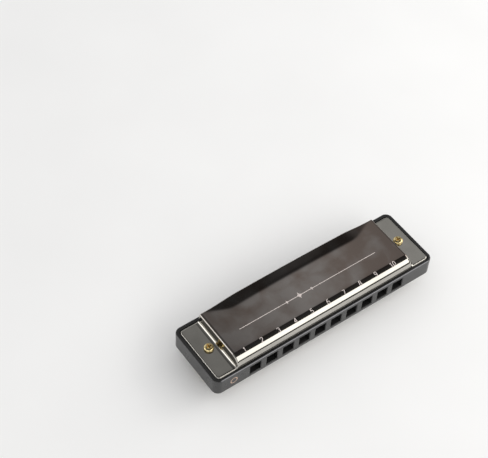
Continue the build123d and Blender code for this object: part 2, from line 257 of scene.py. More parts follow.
def dimmed(shade, share):
    """A share of a linear colour."""
    return tuple(share * channel for channel in shade[:3]) + (1.0,)


def add_node(tree, kind, inputs, output=0, stops=(), **attributes):
    """Adds a shader node and returns one of its outputs. Inputs map a number or name to a value or to
    the socket that feeds it; stops are the (position, colour) of a ramp."""
    node = tree.nodes.new("ShaderNode" + kind)
    for key, value in attributes.items():
        setattr(node, key, value)
    for key, value in inputs.items():
        if isinstance(value, bpy.types.NodeSocket):
            tree.links.new(value, node.inputs[key])
        else:
            node.inputs[key].default_value = value
    for number, (position, shade) in enumerate(stops):
        elements = node.color_ramp.elements
        stop = elements[number] if number < 2 else elements.new(position)
        stop.position, stop.color = position, shade
    return node.outputs[output] if node.outputs else None


def make_material(name, pattern, *values):
    """A material whose Principled shader has the inputs that pattern returns. Pattern is given the
    function that adds nodes, the object coordinates, and its own values."""
    material = bpy.data.materials.new(name)
    material.use_nodes = True
    material.node_tree.nodes.clear()
    node = partial(add_node, material.node_tree)
    inputs = pattern(node, node("TexCoord", {}, "Object"), *values)
    node("OutputMaterial", {0: node("BsdfPrincipled", inputs)})
    return material


def per_metre(size_mm):
    """Noise scale whose features are about this many millimetres across."""
    return 1.0 / (size_mm * MM)


def spread(noise, low, high):
    """Inputs of a Map Range that takes a noise, most of which lies at 0.3 to 0.7, to other values."""
    return {0: noise, 1: 0.3, 2: 0.7, 3: low, 4: high}


def off_middle(node, place):
    """Distance above or below the comb's middle plane: |z - middle|."""
    z = node("SeparateXYZ", {0: place}, "Z")
    z = node("Math", {0: z, 1: MID_Z * MM}, operation="SUBTRACT")
    return node("Math", {0: z}, operation="ABSOLUTE")


def polished_steel(node, place):
    """Stainless steel sheet, pressed and buffed: a nearly sharp mirror with a slow ripple from the
    press and hairlines from the buffing wheel along the length. The crown is darker and warmer, in
    clouds of about 10 mm and darker still towards the high end: the clouds are a smoky haze, and the
    darkening is painted shade standing in for the dark room that the crown mirrors. The
    flanges' rounded edges are dulled by the press tool."""
    colours, sizes = settings("colours"), settings("cover")
    wear = node("TexNoise", {0: place, "Scale": per_metre(14), "Detail": 3.0, "Roughness": 0.6})
    bare = node("ValToRGB", {0: wear}, stops=[
        (0.35, linear(colours.steel)), (0.7, linear(colours.steel_worn))])
    cloud = node("TexNoise", {0: place, "Scale": per_metre(10), "Detail": 3.0, "Distortion": 0.3})
    x = node("SeparateXYZ", {0: place}, "X")
    # Painted shade: the crown is tinted darker and warmer than the bare steel, for the dark room it
    # mirrors, and darker towards the high end; the 10 mm clouds are haze
    shade_towards_high_end = node("MapRange", {0: x, 1: 5 * MM, 2: 40 * MM, 3: 0.0, 4: -0.24})
    haze_and_painted_shade = node("Math", {0: cloud, 1: shade_towards_high_end}, operation="ADD")
    haze = node("ValToRGB", {0: haze_and_painted_shade}, stops=[
        (0.3, linear(colours.crown_dark)), (0.56, linear(colours.crown_pale))])
    height = off_middle(node, place)
    crown = float(COVER_HIGH[2] - MID_Z) - sizes.flare_rise
    on_crown = node("MapRange", {0: height, 1: (crown - 0.7) * MM, 2: (crown - 0.1) * MM})
    tint = node("Mix", {0: on_crown, 6: bare, 7: haze}, 2, data_type="RGBA")
    along = node("Mapping", {0: place, "Scale": (0.03, 1.0, 1.0)})
    hairline = node("TexNoise", {0: along, "Scale": per_metre(0.25), "Detail": 2.0})
    buffed = node("Math", {0: node("MapRange", spread(wear, 0.05, 0.09)),
                           1: node("MapRange", spread(hairline, 0.0, 0.03))}, operation="ADD")
    flat = COMB_TOP - MID_Z + sizes.sheet
    dulled = node("MapRange", {0: height, 1: (flat - 0.1) * MM, 2: (flat - 0.01) * MM, 3: 0.28, 4: 0.0})
    rough = node("Math", {0: buffed, 1: dulled}, operation="ADD")
    ripple = node("TexNoise", {0: place, "Scale": per_metre(11), "Detail": 1.0})
    bump = node("Bump", {"Height": ripple, "Strength": 0.12, "Distance": 0.6 * MM})
    return {"Metallic": 1.0, "Base Color": tint, "Roughness": rough, "Normal": bump}


def moulded_abs(node, place):
    """Black ABS from a fine-textured mould: satin, with a grain of about 0.25 mm that breaks the sheen.
    The rounded front edges are paler, a painted highlight in place of the light that they catch: the
    mask is the distance from the front less that from the middle plane, which is least along those
    edges."""
    colours = settings("colours")
    cloud = node("TexNoise", {0: place, "Scale": per_metre(9), "Detail": 3.0})
    tint = node("ValToRGB", {0: cloud}, stops=[
        (0.3, linear(colours.abs_black)), (0.75, linear(colours.abs_worn))])
    y = node("SeparateXYZ", {0: place}, "Y")
    from_front = node("Math", {0: y, 1: float(COMB_LOW[1]) * MM}, operation="SUBTRACT")
    into_edge = node("Math", {0: from_front, 1: off_middle(node, place)}, operation="SUBTRACT")
    half = float(COMB_HIGH[2] - MID_Z)
    # Painted highlight: the rounded front edges, top and bottom, get a paler colour in place of the
    # light that they catch
    painted_edge_highlight = node("MapRange", {0: into_edge, 1: (0.26 - half) * MM, 2: (0.36 - half) * MM,
                               3: 1.0, 4: 0.0})
    shade = node("Mix", {0: painted_edge_highlight, 6: tint, 7: linear(colours.abs_rubbed)}, 2, data_type="RGBA")
    grain = node("TexNoise", {0: place, "Scale": per_metre(0.25), "Detail": 2.0})
    bump = node("Bump", {"Height": grain, "Strength": 0.25, "Distance": 0.03 * MM})
    rough = node("MapRange", spread(cloud, 0.24, 0.34))
    return {"IOR": 1.58, "Base Color": shade, "Roughness": rough, "Normal": bump}


def worked_brass(node, place, grain_along, rough_low, rough_high, bright="brass", dark="brass_dark"):
    """Brass with the marks of its making: grain_along stretches the pattern along X, Y or neither, as
    rolling leaves lines in a plate and grinding leaves lines along a reed. Where air and fingers
    reach it, it runs in clouds of about 6 mm from its bright colour to a darker one."""
    cloud = node("TexNoise", {0: place, "Scale": per_metre(6), "Detail": 4.0})
    bright, dark = (linear(getattr(settings("colours"), key)) for key in (bright, dark))
    tint = node("ValToRGB", {0: cloud}, stops=[(0.4, bright), (0.8, dark)])
    stretch = node("Mapping", {0: place, "Scale": grain_along})
    lines = node("TexNoise", {0: stretch, "Scale": per_metre(0.2), "Detail": 3.0})
    rough = node("MapRange", spread(lines, rough_low, rough_high))
    bump = node("Bump", {"Height": lines, "Strength": 0.2, "Distance": 0.02 * MM})
    return {"Metallic": 1.0, "Base Color": tint, "Roughness": rough, "Normal": bump}


def nickel_plate(node, place):
    """Nickel plating on a turned screw: bright, slightly warm, with fine turning haze."""
    colours = settings("colours")
    haze = node("TexNoise", {0: place, "Scale": per_metre(0.8), "Detail": 2.0})
    tint = node("ValToRGB", {0: haze}, stops=[
        (0.3, linear(colours.nickel)), (0.8, linear(colours.steel_worn))])
    rough = node("MapRange", spread(haze, 0.14, 0.24))
    return {"Metallic": 1.0, "Base Color": tint, "Roughness": rough}


def printed_ink(node, place, shade):
    """Pale printed ink: thin, matt, a little patchy where it wore."""
    wear = node("TexNoise", {0: place, "Scale": per_metre(0.7), "Detail": 2.0})
    shade = linear(shade)
    tint = node("ValToRGB", {0: wear}, stops=[(0.35, dimmed(shade, 0.72)), (0.6, shade)])
    return {"Base Color": tint, "Roughness": node("MapRange", spread(wear, 0.45, 0.6))}


def plain_floor(node, place):
    """Matt pale paper sweep, with a barely visible mottle."""
    base = linear(settings("colours").floor)
    mottle = node("TexNoise", {0: place, "Scale": per_metre(60), "Detail": 2.0})
    tint = node("ValToRGB", {0: mottle}, stops=[(0.3, dimmed(base, 0.97)), (0.7, base)])
    return {"Base Color": tint, "Roughness": 0.9, "Specular IOR Level": 0.1}


# ---------------- meshes
MERGE = 0.0001 * MM          # a tenth of a micron


def make_piece(name, points, quads, material, smooth_angle=40.0):
    """Makes a mesh object from points in millimetres and quads. Points nearer than MERGE become
    one, faces that collapse to nothing go, and edges sharper than smooth_angle stay sharp."""
    mesh = bpy.data.meshes.new(name)
    mesh.from_pydata(points * MM, [], quads.tolist())
    merged = bmesh.new()
    merged.from_mesh(mesh)
    bmesh.ops.remove_doubles(merged, verts=merged.verts, dist=MERGE)
    bmesh.ops.dissolve_degenerate(merged, edges=merged.edges, dist=MERGE)
    merged.to_mesh(mesh)
    merged.free()
    mesh.materials.append(material)
    piece = bpy.data.objects.new(name, mesh)
    bpy.context.scene.collection.objects.link(piece)
    finish_mesh(mesh, smooth_angle)
    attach(piece, "instrument")
    return piece


def finish_mesh(mesh, smooth_angle):
    """Smooth shading with sharp edges above an angle."""
    mesh.polygons.foreach_set("use_smooth", np.ones(len(mesh.polygons), bool))
    mesh.set_sharp_from_angle(angle=math.radians(smooth_angle))
    mesh.update()


def grid_quads(rows, columns, keep=None, start=0):
    """Quads of a grid of points stored row by row; keep masks cells."""
    row, column = np.meshgrid(np.arange(rows - 1), np.arange(columns - 1), indexing="ij")
    corner = start + row * columns + column
    quads = np.stack([corner, corner + 1, corner + columns + 1, corner + columns], axis=-1)
    return (quads if keep is None else quads[keep]).reshape(-1, 4)


def thicken(piece, thickness, smooth_angle):
    """Gives an open sheet its wall on the inner side, and keeps the result as the piece's mesh."""
    solid = piece.modifiers.new("wall", "SOLIDIFY")
    solid.thickness = thickness * MM
    solid.offset = -1.0
    solid.use_even_offset = True
    solid.use_quality_normals = True
    graph = bpy.context.evaluated_depsgraph_get()
    mesh = bpy.data.meshes.new_from_object(piece.evaluated_get(graph))
    piece.modifiers.clear()
    old = piece.data
    piece.data = mesh
    bpy.data.meshes.remove(old)
    mesh.name = piece.name
    finish_mesh(mesh, smooth_angle)


# ---------------- cover form
def rounded_line(corners, radii, steps):
    """A polyline with each inner corner replaced by an arc: the arc touches both legs at
    radius * tan(half the turn) from the corner, and is sampled evenly by angle."""
    corners = [np.array(c, float) for c in corners]
    samples = [corners[0][None, :]]
    for before, corner, after, radius in zip(corners, corners[1:], corners[2:], radii):
        into = (corner - before) / np.linalg.norm(corner - before)
        out = (after - corner) / np.linalg.norm(after - corner)
        turn = math.acos(np.clip(into @ out, -1, 1))
        start = corner - into * radius * math.tan(turn / 2)
        side = np.array([-into[1], into[0]]) * np.sign(into[0] * out[1] - into[1] * out[0])
        swept = np.linspace(0, turn, steps)[:, None]
        samples.append(start + radius * np.sin(swept) * into + radius * (1 - np.cos(swept)) * side)
    samples.append(corners[-1][None, :])
    return samples


class CoverForm:
    """Outer surface of the top cover as heights above the comb's top face.

    Across the cover a section runs from the foot of the turned-down edge, up the lip, over the
    shoulder and the number band to the crown, then over the rear crease and flare to the rear edge.
    """

    def __init__(self, sizes):
        self.s = sizes
        self.front, self.back = float(COVER_LOW[1]), float(COVER_HIGH[1])
        self.half = float(COVER_HIGH[0])
        self.foot = float(COVER_LOW[2]) - COMB_TOP
        self.crown = sizes.lip_rise + sizes.shoulder_rise + sizes.band_rise
        self.lip_top = (self.front + sizes.lip_run, sizes.lip_rise)
        self.shoulder_top = (self.lip_top[0] + sizes.shoulder_run,
                             self.lip_top[1] + sizes.shoulder_rise)
        self.band_top = (self.shoulder_top[0] + sizes.band_run, self.crown)
        self.body_back = self.back - sizes.back_setback
        self.flare_end = sizes.body_end - sizes.flare_end_margin

    def front_section(self, end_y):
        """Lip, shoulder and number band as a line of (y, z) that runs on along the crown to end_y."""
        corners = [(self.front, 0), self.lip_top, self.shoulder_top, self.band_top, (end_y, self.crown)]
        return rounded_line(corners, [self.s.lip_bend, self.s.shoulder_bend, self.s.band_bend], 7)

    def flare_height(self, x):
        """Rear edge above the crown: a shallow parabola, brought to nothing by half a cosine."""
        start = self.s.body_end - self.s.flare_run_out
        across = np.clip((np.abs(x) - start) / (self.flare_end - start), 0, 1)
        bowed = self.s.flare_rise - self.s.flare_bow * (x / start) ** 2
        return bowed * 0.5 * (1 + np.cos(np.pi * across))

    def crease_setback(self, x):
        """Distance from rear edge to crease: a shallow parabola in the middle, then a smooth
        cubic step down to the tip."""
        turn = self.s.body_end - self.s.crease_run_out
        deepest, centre = self.s.crease_deepest, self.s.crease_centre
        inner = centre + (deepest - centre) * (x / turn) ** 2
        across = np.clip((np.abs(x) - turn) / (self.flare_end - turn), 0, 1)
        step = across * across * (3 - 2 * across)
        outer = deepest - (deepest - self.s.crease_tip) * step
        return np.where(np.abs(x) < turn, inner, outer)

    def flare(self, x, y):
        """Height of the flare above the crown: a ramp softened by the crease bend,
        (t + sqrt(t^2 + bend^2)) / 2 with t the distance behind the crease, scaled so that it reaches
        the flare's height where the rear bend begins."""
        setback = self.crease_setback(x)
        bend = np.minimum(self.s.crease_bend, 0.5 * setback)
        soft = lambda t: (t + np.sqrt(t * t + bend * bend)) / 2
        full = soft(np.maximum(setback - self.s.rear_bend, 0.1))
        return self.flare_height(x) * soft(y - self.body_back + setback) / full

    def surface_height(self, x, y):
        """Height of the outer skin over (x, y), away from its end walls."""
        section = np.concatenate(self.front_section(self.body_back))
        return COMB_TOP + np.interp(y, section[:, 0], section[:, 1]) + self.flare(x, y)


# rows of the rear bend, turned edge and pillar, and of the flange edge's rounding on its two parts
BEND_ROWS, TURNED_ROWS, PILLAR_ROWS = 7, 3, 3
LEDGE_ROWS, FALL_ROWS = 14, 5


def cover_rows(form, out, rise):
    """Columns x of the body, and for each row from front to back its (y, z) on the body and the
    (y, z) on the flange to which its end wall falls, and the number of rows down to the crown's end.
    Out and rise are the flange edge's rounding, whose first LEDGE_ROWS points reach the body's back."""
    s = form.s
    edge = s.flange_edge_radius
    # columns, closer together round the sound opening's corners
    window = s.body_end - s.window_margin
    corner = window - s.window_corner
    half = np.concatenate([np.linspace(0, 22, 23)[:-1], np.linspace(22, corner, 27)[:-1],
                           corner + s.window_corner * np.sin(np.linspace(0, QUARTER, 10)),
                           np.linspace(window, s.body_end - s.end_lean - s.wall_top_radius, 4)[1:]])
    x = np.concatenate([-half[:0:-1], half])
    # rows of the front, and of the flange beside them
    shoulder, band, crown = form.front_section(form.band_top[0] + 3)[1:4]
    share = ((edge - out[::-1]) / edge)[:, None]
    start = np.array([form.front, 0.0])
    between = lambda a, b: a + (b - a) * np.linspace(0, 1, 5)[1:-1, None]
    upper = np.concatenate([shoulder, between(shoulder[-1], band[0]), band,
                            between(band[-1], crown[0]), crown])
    front = np.concatenate([[[form.front, form.foot]], start + (shoulder[0] - start) * share,
                            upper[1:]])
    under_y = np.maximum(upper[1:, 0], form.front + edge + 0.02 * np.arange(1, len(upper)))
    # rows of the crown and flare, drawn together round the crease
    crown_end = min(form.back - edge, form.body_back - s.rear_bend - 0.05)
    crease = np.minimum(form.body_back - form.crease_setback(x), crown_end - 0.6)
    to_crease = (1 - (1 - np.linspace(0, 1, 25)[1:]) ** 1.6)[:, None]
    to_end = (np.linspace(0, 1, 15)[1:] ** 1.3)[:, None]
    crown_y = np.concatenate([front[-1, 0] + (crease - front[-1, 0]) * to_crease,
                              crease + (crown_end - crease) * to_end])
    crown_z = form.crown + form.flare(x, crown_y)
    # rows of the rear bend, the turned edge, and the pillar beside the opening
    r = s.rear_bend
    swept = np.linspace(0, QUARTER, BEND_ROWS)[:, None]
    bend_y = form.body_back - r + r * np.sin(swept) + 0 * x
    bend_z = form.crown + form.flare(x, form.body_back - r) - r * (1 - np.cos(swept))
    into_corner = np.maximum(np.abs(x) - corner, 0)
    drop = s.window_corner - np.sqrt(np.maximum(s.window_corner ** 2 - into_corner ** 2, 0))
    low = (form.crown + form.flare_height(x) - s.turned_edge
           - np.where(np.abs(x) > window, s.window_corner, drop))
    steps = lambda rows: np.linspace(0, 1, rows + 1)[1:, None]
    turned_z = bend_z[-1] + (low - bend_z[-1]) * steps(TURNED_ROWS)
    pillar_z = low + (rise[LEDGE_ROWS - 1] - low) * steps(PILLAR_ROWS)
    arc_y = form.back - edge + out[LEDGE_ROWS:, None] + 0 * x
    arc_z = rise[LEDGE_ROWS:, None] + 0 * x
    straight = np.full((TURNED_ROWS + PILLAR_ROWS, len(x)), form.body_back)
    flat = lambda column: np.repeat(column[:, None], len(x), axis=1)
    body = np.stack([
        np.concatenate([flat(front[:, 0]), crown_y, bend_y, straight, arc_y, arc_y[-1:]]),
        np.concatenate([flat(front[:, 1]), crown_z, bend_z, turned_z, pillar_z, arc_z,
                        form.foot + 0 * x[None]]),
    ], axis=-1)
    level = np.full(len(under_y) + len(crown_y) - 1, s.sheet)
    flange = np.stack([
        np.concatenate([[form.front], form.front + edge - out[::-1], under_y, crown_y[:-1, -1],
                        form.back - edge + out, [form.back]]),
        np.concatenate([[form.foot], rise[::-1], level, rise, [form.foot]])], axis=-1)
    return x, body, flange, len(front) + len(crown_y)


def cover_skin(form):
    """Outer skin of the top cover as points and quads: one grid for the body with its end walls and
    rear wall, one strip round each flange's edge, and a flat ring of quads round each screw hole."""
    s = form.s
    edge = s.flange_edge_radius
    # the flange edge's rounding at an angle a: radius * sin(a) out, and down by radius * (1 - cos(a))
    ledge = math.asin((edge - s.back_setback) / edge)
    turned = np.concatenate([np.linspace(0, ledge, LEDGE_ROWS),
                             np.linspace(ledge, QUARTER, FALL_ROWS + 1)[1:]])
    out, rise = edge * np.sin(turned), s.sheet - edge + edge * np.cos(turned)
    x, body, flange, roof_rows = cover_rows(form, out, rise)
    rows = len(body)
    # end walls: each row turns over, falls and sweeps out to the flange
    top_r, foot_r = s.wall_top_radius, s.cove_radius
    over = np.linspace(0, QUARTER, 8)[1:]
    sweep = np.linspace(0, QUARTER, 10)
    full = form.crown - s.sheet
    wall_x = np.concatenate([x[-1] + top_r * np.sin(over),
                             s.body_end - s.end_lean * np.array([0.66, 0.33]),
                             s.body_end + foot_r * (1 - np.cos(sweep))])
    drop = np.concatenate([top_r * (1 - np.cos(over)),
                           top_r + (full - top_r - foot_r) * np.array([0.34, 0.67]),
                           full - foot_r + foot_r * np.sin(sweep)]) / full
    wall = body[:, -1:]
    right = wall + (flange[:, None] - wall) * drop[None, :, None]
    grid_x = np.concatenate([-wall_x[::-1], x, wall_x])
    grid = np.concatenate([right[:, ::-1], body, right], axis=1)
    grid = np.concatenate([np.repeat(grid_x[None, :, None], rows, axis=0), grid], axis=-1)
    open_from = roof_rows + BEND_ROWS + TURNED_ROWS - 1
    middle = (grid_x[:-1] + grid_x[1:]) / 2
    beside = np.abs(middle) >= s.body_end - s.window_margin
    keep = (np.arange(rows - 1)[:, None] < open_from) | beside
    points = [grid.reshape(-1, 3)]
    quads = [grid_quads(rows, len(grid_x), keep)]
    count = len(points[0])
    # a flange's edge: a spine, from which it lies one corner radius away in a direction that turns
    corner = s.flange_corner_radius
    foot_x, end_x = wall_x[-1], form.half - corner
    front_y, back_y = form.front + corner, form.back - corner
    stops = np.cumsum([0, 11, 11, 27, 11, 11])
    at = np.arange(stops[-1] + 1)
    along = lambda values: np.interp(at, stops, values)
    spine = np.stack([along([foot_x, end_x, end_x, end_x, end_x, foot_x]),
                      along([front_y, front_y, front_y, back_y, back_y, back_y])], -1)
    facing = np.radians(along([-90, -90, 0, 0, 90, 90]))
    outward = np.stack([np.cos(facing), np.sin(facing)], -1)
    run = 1 - (1 - s.flange_end_radius / edge) * np.abs(outward[:, 0])
    inset = np.concatenate([[0.0], edge - out[::-1]])
    rim = (spine + corner * outward)[:, None] - (outward * run[:, None])[:, None] * inset[None, :, None]
    rim_z = np.concatenate([[form.foot], rise[::-1]])
    rim = np.concatenate([rim, np.repeat(rim_z[None, :, None], len(rim), axis=0)], axis=-1)
    # the flange's flat, from the screw hole out to its edge and to the foot of the wall
    foot = flange[rows - len(turned) - 1:len(turned) - 1:-1, 0]
    wall_foot = np.stack([np.full(len(foot), foot_x), foot, np.full(len(foot), s.sheet)], -1)
    loop = np.concatenate([rim[:, -1], wall_foot[1:]])
    centre = np.array([SCREW_HIGH[0] - (SCREW_HIGH[1] - SCREW_LOW[1]) / 2, 0.0, s.sheet])
    away = loop - centre
    hole = centre + away / np.linalg.norm(away, axis=1)[:, None] * s.screw_hole / 2
    flat = hole + (loop - hole) * np.array([0, 0.15, 0.4, 0.7, 0.95, 1.0])[:, None, None]
    for side in (1, -1):
        for block in (rim, flat):
            block_quads = grid_quads(*block.shape[:2], start=count)
            quads.append(block_quads[:, ::-1] if side > 0 else block_quads)
            points.append(block.reshape(-1, 3) * [side, 1, 1])
            count += len(points[-1])
    return np.concatenate(points) + [0, 0, COMB_TOP], np.concatenate(quads)


def build_cover(name, below, material):
    """Top cover, or its mirror image below the comb."""
    form = CoverForm(settings("cover"))
    points, quads = cover_skin(form)
    if below:
        points, quads = upside_down(points, quads)
    piece = make_piece(name, points, quads, material)
    thicken(piece, form.s.sheet, 38.0)
    return piece


# ---------------- small fasteners
def at_places(points, quads, places):
    """Repeats a piece, points (n, 3) and quads, at each (x, y)."""
    places = np.asarray(places, float)
    moved = points[None] + np.pad(places, ((0, 0), (0, 1)))[:, None, :]
    starts = len(points) * np.arange(len(places))
    return moved.reshape(-1, 3), (quads[None] + starts[:, None, None]).reshape(-1, 4)


def revolved(profile, steps=28):
    """Surface of revolution: (r, z) of the profile goes to (r cos a, r sin a, z). A profile that runs
    from the axis below, out, up and back to the axis has its faces outward."""
    profile = np.asarray(profile, float)
    a = np.linspace(0, 2 * math.pi, steps + 1)
    r, z = profile[:, 0, None], profile[:, 1, None]
    points = np.stack([r * np.cos(a), r * np.sin(a), z + 0 * a], axis=-1)
    return points.reshape(-1, 3), grid_quads(len(profile), steps + 1)


def dome(radius, edge, height, steps=7):
    """Quarter ellipse from the rim of a head, at height edge, to its top on the axis, as (r, z)."""
    a = np.linspace(0, QUARTER, steps)
    return np.stack([radius * np.cos(a), edge + (height - edge) * np.sin(a)], -1)


def slotted_head(radius, edge, height, slot_width, slot_depth):
    """Domed head with a straight slot, standing on z = 0. Columns run across the slot at distances u
    from the middle, doubled at the slot's walls; rows run along it at v = s sqrt(radius^2 - u^2).
    The top is the dome edge + (height - edge) sqrt(1 - (u^2 + v^2) / radius^2), or the slot's floor;
    the first and last rows fall to the seat and close it."""
    half = slot_width / 2
    outer = half + (radius - half) * np.sin(np.linspace(0, QUARTER, 9))
    u = np.concatenate([-outer[::-1], [-half, 0, half], outer])
    sunk = np.zeros(len(u), bool)
    sunk[len(outer):-len(outer)] = True
    s = np.sin(np.linspace(-QUARTER, QUARTER, 21))
    reach = np.sqrt(np.maximum(radius ** 2 - u ** 2, 0))
    v = s[:, None] * reach
    rounded = edge + (height - edge) * np.sqrt(np.maximum(1 - (u ** 2 + v ** 2) / radius ** 2, 0))
    top = np.where(sunk, np.minimum(rounded, height - slot_depth), rounded)
    v = np.concatenate([0 * reach[None], -reach[None], v, reach[None], 0 * reach[None]])
    z = np.pad(top, ((2, 2), (0, 0)))
    points = np.stack([u + 0 * v, v, z], axis=-1)
    return points.reshape(-1, 3), grid_quads(*z.shape)


def turned_about_z(points, a):
    """Points turned by the angle a about Z."""
    c, s = math.cos(a), math.sin(a)
    return points @ np.array([[c, s, 0], [-s, c, 0], [0, 0, 1]])


def upside_down(points, quads):
    """Mirror image about the comb's middle plane, with its faces turned back out."""
    return points * [1, 1, -1] + [0, 0, 2 * MID_Z], quads[:, ::-1]


# ---------------- operators
def dress(node_names, material):
    """Gives solids their finish through their own material slots."""
    for name in node_names:
        for slot in frame["nodes"][name].material_slots:
            slot.material = material


class HARMONICA_OT_covers(bpy.types.Operator):
    """Both pressed steel covers, with bends of their real radii, in place of their plainer solids"""
    bl_idname = "harmonica.covers"
    bl_label = "Covers"

    def execute(self, context):
        steel = make_material("buffed_stainless_steel", polished_steel)
        for name, node, below in (("upper_cover_sheet", "top_cover", False),
                                  ("lower_cover_sheet", "bottom_cover", True)):
            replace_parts(build_cover(name, below, steel), node)
        return {"FINISHED"}


class HARMONICA_OT_comb(bpy.types.Operator):
    """Black moulded comb"""
    bl_idname = "harmonica.comb"
    bl_label = "Comb"

    def execute(self, context):
        dress(["comb"], make_material("black_moulded_abs", moulded_abs))
        return {"FINISHED"}


class HARMONICA_OT_reed_plates(bpy.types.Operator):
    """Rolled brass reed plates"""
    bl_idname = "harmonica.reed_plates"
    bl_label = "Reed plates"

    def execute(self, context):
        dress(["blow_reed_plate", "draw_reed_plate"],
              make_material("rolled_brass_sheet", worked_brass, (0.05, 1, 1), 0.24, 0.36))
        return {"FINISHED"}


class HARMONICA_OT_reeds(bpy.types.Operator):
    """Ground brass reeds and their pads"""
    bl_idname = "harmonica.reeds"
    bl_label = "Reeds"

    def execute(self, context):
        reeds = [name for name in frame["nodes"] if "_reed_" in name and name[-1].isdigit()]
        dress(reeds + ["blow_reed_pads", "draw_reed_pads"],
              make_material("ground_brass_reed", worked_brass, (1, 0.05, 1), 0.2, 0.34))
        return {"FINISHED"}


class HARMONICA_OT_rivets(bpy.types.Operator):
    """Brass rivets with domed heads at both ends, one through the root of each reed"""
    bl_idname = "harmonica.rivets"
    bl_label = "Rivets"

    def execute(self, context):
        sizes = settings("fasteners")
        brass = make_material("headed_brass_rivet", worked_brass, (1, 1, 1), 0.18, 0.3)
        head, shank = sizes.rivet_head / 2, sizes.rivet_shank / 2
        cap = dome(head, 0, sizes.rivet_rise)
        for row in ("blow", "draw"):
            low, high = node_box(f"{row}_reed_rivets")
            roots = hinges(row)
            first = high[1] - head if row == "blow" else low[1] + head
            top, foot = high[2] - sizes.rivet_rise, low[2] + sizes.rivet_rise
            profile = np.concatenate([cap[::-1] * [1, -1] + [0, foot], [[shank, foot], [shank, top]],
                                      cap + [0, top]])
            points, quads = at_places(*revolved(profile), roots + [0, first - roots[0, 1]])
            piece = make_piece(f"{row}_domed_rivets", points, quads, brass)
            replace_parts(piece, f"{row}_reed_rivets")
        return {"FINISHED"}


SLOT_TURN = 2.4          # radians from one screw's slot to the next


class HARMONICA_OT_plate_screws(bpy.types.Operator):
    """Nickel-plated slotted screws that hold the reed plates, their slots left at odd angles"""
    bl_idname = "harmonica.plate_screws"
    bl_label = "Plate screws"

    def execute(self, context):
        sizes = settings("fasteners")
        nickel = make_material("nickel_plated_steel", nickel_plate)
        low, high = node_box("blow_plate_screws")
        radius, shank = sizes.screw_head / 2, sizes.screw_shank / 2
        seat = high[2] - sizes.screw_height
        side, rear = high[0] - radius, high[1] - radius
        places = [(-side, -sizes.side_y), (side, -sizes.side_y), (-side, sizes.side_y),
                  (side, sizes.side_y), (0, -rear), (0, rear)]
        head, head_quads = slotted_head(radius, sizes.screw_edge, sizes.screw_height,
                                        sizes.slot_width, sizes.slot_depth)
        profile = [(0, low[2]), (shank - 0.3, low[2]), (shank, low[2] + 0.5), (shank, seat), (0, seat)]
        stem, stem_quads = at_places(*revolved(profile), places)
        for name, node, below in (("upper_slotted_screws", "blow_plate_screws", False),
                                  ("lower_slotted_screws", "draw_plate_screws", True)):
            points, quads = [stem], [stem_quads]
            for number, (x, y) in enumerate(places):
                points.append(turned_about_z(head, SLOT_TURN * number + below) + [x, y, seat])
                quads.append(head_quads + len(stem) + number * len(head))
            points, quads = np.concatenate(points), np.concatenate(quads)
            if below:
                points, quads = upside_down(points, quads)
            piece = make_piece(name, points, quads, nickel, smooth_angle=35.0)
            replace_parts(piece, node)
        return {"FINISHED"}


class HARMONICA_OT_screws(bpy.types.Operator):
    """Cover screws and nuts in bright brass"""
    bl_idname = "harmonica.screws"
    bl_label = "Screws"

    def execute(self, context):
        dress(["cover_screws", "cover_nuts"],
              make_material("bright_brass_plating", worked_brass, (1, 1, 1), 0.1, 0.2,
                            "screw_brass", "screw_shade"))
        return {"FINISHED"}


def outline_mark(name, paths, width, form, material):
    """Strokes of constant width along open or closed lines on the cover. Each point of a line is
    moved half a width to both sides along the line's normal, and lifted to the cover's surface."""
    points, quads, count = [], [], 0
    for path in paths:
        tangent = np.gradient(path, axis=0)
        if np.allclose(path[0], path[-1]):
            tangent[0] = tangent[-1] = path[1] - path[-2]
        tangent /= np.linalg.norm(tangent, axis=1)[:, None]
        normal = np.stack([-tangent[:, 1], tangent[:, 0]], -1)
        sides = np.stack([path - normal * width / 2, path + normal * width / 2], axis=1)
        z = form.surface_height(sides[..., 0], sides[..., 1]) + settings("marks").mark_height
        points.append(np.concatenate([sides, z[..., None]], axis=-1).reshape(-1, 3))
        quads.append(grid_quads(len(path), 2, start=count))
        count += 2 * len(path)
    make_piece(name, np.concatenate(points), np.concatenate(quads), material)


def arc(cx, cy, rx, ry, start=0.0, end=360.0, steps=15):
    """Arc of an ellipse, angles in degrees from +X."""
    a = np.radians(np.linspace(start, end, steps))
    return np.stack([cx + rx * np.cos(a), cy + ry * np.sin(a)], -1)


def line(*corners):
    """Straight strokes through corners, with points added so that they can follow a curved surface."""
    corners = np.array(corners, float)
    parts = [a + (b - a) * np.linspace(0, 1, 8)[:-1, None] for a, b in zip(corners, corners[1:])]
    return np.concatenate(parts + [corners[-1:]])


# strokes of each digit, in digit heights from its lower left corner
DIGITS = {
    "0": [[arc(0.3, 0.5, 0.27, 0.5, steps=25)]],
    "1": [[line((0.12, 0.78), (0.36, 1.0), (0.36, 0.0))]],
    "2": [[arc(0.3, 0.72, 0.27, 0.28, 170, -40), line((0.48, 0.52), (0.03, 0.0), (0.6, 0.0))]],
    "3": [[arc(0.28, 0.76, 0.25, 0.24, 160, -90), arc(0.28, 0.26, 0.29, 0.26, 90, -160)]],
    "4": [[line((0.45, 0.0), (0.45, 1.0), (0.0, 0.3), (0.62, 0.3))]],
    "5": [[line((0.55, 1.0), (0.12, 1.0), (0.06, 0.56)), arc(0.27, 0.31, 0.29, 0.31, 125, -150)]],
    "6": [[arc(0.42, 0.45, 0.39, 0.55, 75, 180), arc(0.3, 0.29, 0.27, 0.29, 180, 540, 20)]],
    "7": [[line((0.02, 1.0), (0.58, 1.0), (0.22, 0.0))]],
    "8": [[arc(0.3, 0.76, 0.22, 0.24, steps=21)], [arc(0.3, 0.26, 0.28, 0.26, steps=21)]],
    "9": [[arc(0.18, 0.55, 0.39, 0.55, -105, 0), arc(0.3, 0.71, 0.27, 0.29, 0, 360, 20)]],
}
DIGIT_ADVANCE = 0.8          # from one digit to the next, in digit heights


